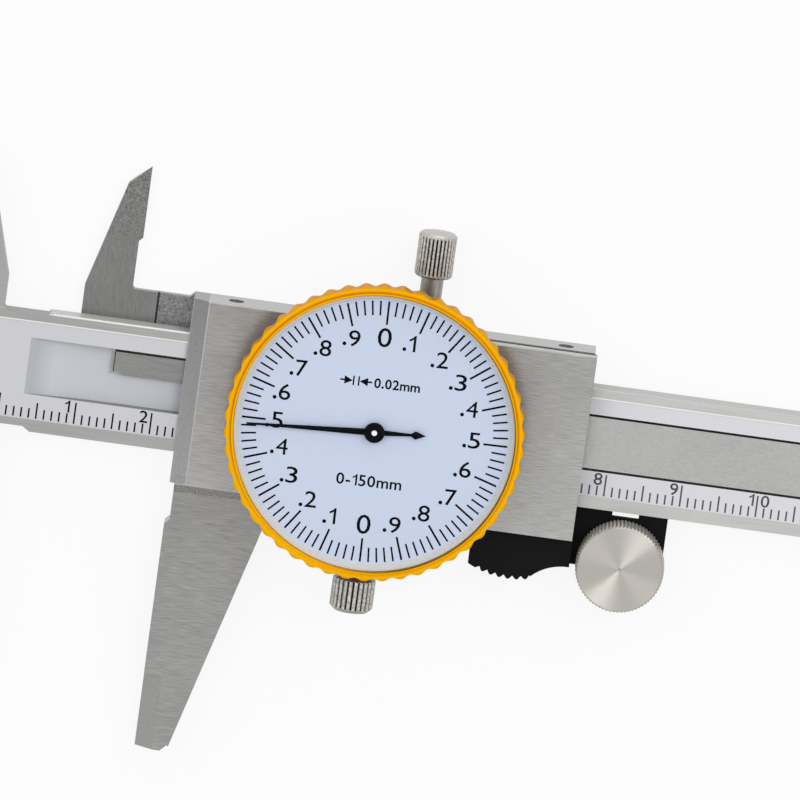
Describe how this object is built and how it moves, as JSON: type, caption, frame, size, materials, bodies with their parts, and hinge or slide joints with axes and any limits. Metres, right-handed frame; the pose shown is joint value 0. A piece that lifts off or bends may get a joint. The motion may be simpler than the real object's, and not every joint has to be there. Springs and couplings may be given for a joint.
{
  "type": "dial caliper",
  "caption": "Dial caliper with fixed and sliding jaws, a rack-driven pointer dial in a turning bezel, lock and clamp screws, thumb roller and depth rod.",
  "frame": {"origin": "centre of the fixed outside jaw's measuring face, half way through the beam's thickness", "axes": "+X along the beam from the fixed jaw's face towards the depth rod's end; +Y across the beam towards the inside jaws; +Z out of the dial"},
  "size_m": [0.2545, 0.0767, 0.0143],
  "materials": {
    "beam_steel": "ground satin, long lines along the beam",
    "slider_steel": "brushed satin, lines along the slider",
    "rod_steel": "brushed satin",
    "rack_steel": "cut and polished",
    "screw_steel": "darkened",
    "case_metal": "turned satin",
    "brass": "turned",
    "bezel_gold": "yellow-orange anodised",
    "dial_white": "satin pale lacquer",
    "ring_grey": "satin",
    "crystal_clear": "clear and flat",
    "pointer_black": "satin black",
    "black_plastic": "fine grained black",
    "knob_nickel": "nickel plated, knurled",
    "roller_steel": "turned face, knurled rim"
  },
  "bodies": {
    "beam": {"beam": "beam_steel", "rack": "rack_steel", "rack_screws": "screw_steel", "end_stop": "beam_steel", "end_stop_screws": "screw_steel"},
    "slider": {"slider": "slider_steel", "gib_strip": "brass", "gib_screws": "screw_steel", "back_plate": "slider_steel", "back_plate_screws": "screw_steel", "depth_rod": "rod_steel", "depth_rod_screws": "screw_steel", "cover_gasket": "black_plastic", "front_cover": "slider_steel", "cover_screws": "screw_steel", "thumb_rest": "black_plastic", "thumb_rest_screws": "screw_steel", "dial_case": "case_metal", "case_screws": "screw_steel", "bezel_retaining_ring": "screw_steel", "clamp_plug": "brass", "arbor_bushes": "brass", "pillars": "brass", "bridge_plate": "brass", "bridge_screws": "screw_steel"},
    "pinion_arbor": {"pinion_arbor": "rack_steel", "drive_gear": "brass", "backlash_gear": "brass", "backlash_spring": "rack_steel"},
    "pointer": {"centre_arbor": "rack_steel", "pointer": "pointer_black", "pointer_hub": "pointer_black"},
    "bezel": {"bezel": "bezel_gold", "dial_plate": "dial_white", "dial_ring": "ring_grey", "crystal": "crystal_clear"},
    "lock_screw": {"lock_screw": "knob_nickel"},
    "bezel_clamp_screw": {"bezel_clamp_screw": "knob_nickel"},
    "roller": {"thumb_roller": "roller_steel", "roller_clip": "screw_steel"}
  },
  "joints": [
    {"name": "slider_slide", "type": "slide", "parent": "beam", "child": "slider", "axis": [1, 0, 0], "range_m": [-0.02348, 0.12652]},
    {"name": "pinion_spin", "type": "hinge", "parent": "slider", "child": "pinion_arbor", "pos_m": [0.04199, 0.03234, 0.0016], "axis": [0, 0, 1], "range_deg": [-850, 4560]},
    {"name": "pointer_spin", "type": "hinge", "parent": "slider", "child": "pointer", "pos_m": [0.04918, 0.03275, 0.0016], "axis": [0, 0, 1], "range_deg": [-22790, 4240]},
    {"name": "bezel_turn", "type": "hinge", "parent": "slider", "child": "bezel", "pos_m": [0.04918, 0.03275, 0.0096], "axis": [0, 0, 1], "continuous": true},
    {"name": "lock_screw_turn", "type": "hinge", "parent": "slider", "child": "lock_screw", "pos_m": [0.05398, 0.04485, 0], "axis": [0, 1, 0], "range_deg": [-72, 360]},
    {"name": "bezel_clamp_turn", "type": "hinge", "parent": "slider", "child": "bezel_clamp_screw", "pos_m": [0.04918, 0.01285, 0.00584], "axis": [0, -1, 0], "range_deg": [-72, 360]},
    {"name": "roller_spin", "type": "hinge", "parent": "slider", "child": "roller", "pos_m": [0.08334, 0.01793, 0.0016], "axis": [0, 0, 1], "continuous": true}
  ],
  "couplings": [
    {"joint": "pinion_spin", "follows": "slider_slide", "rad_per_m": 628.32},
    {"joint": "pointer_spin", "follows": "slider_slide", "rad_per_m": -3141.6}
  ]
}
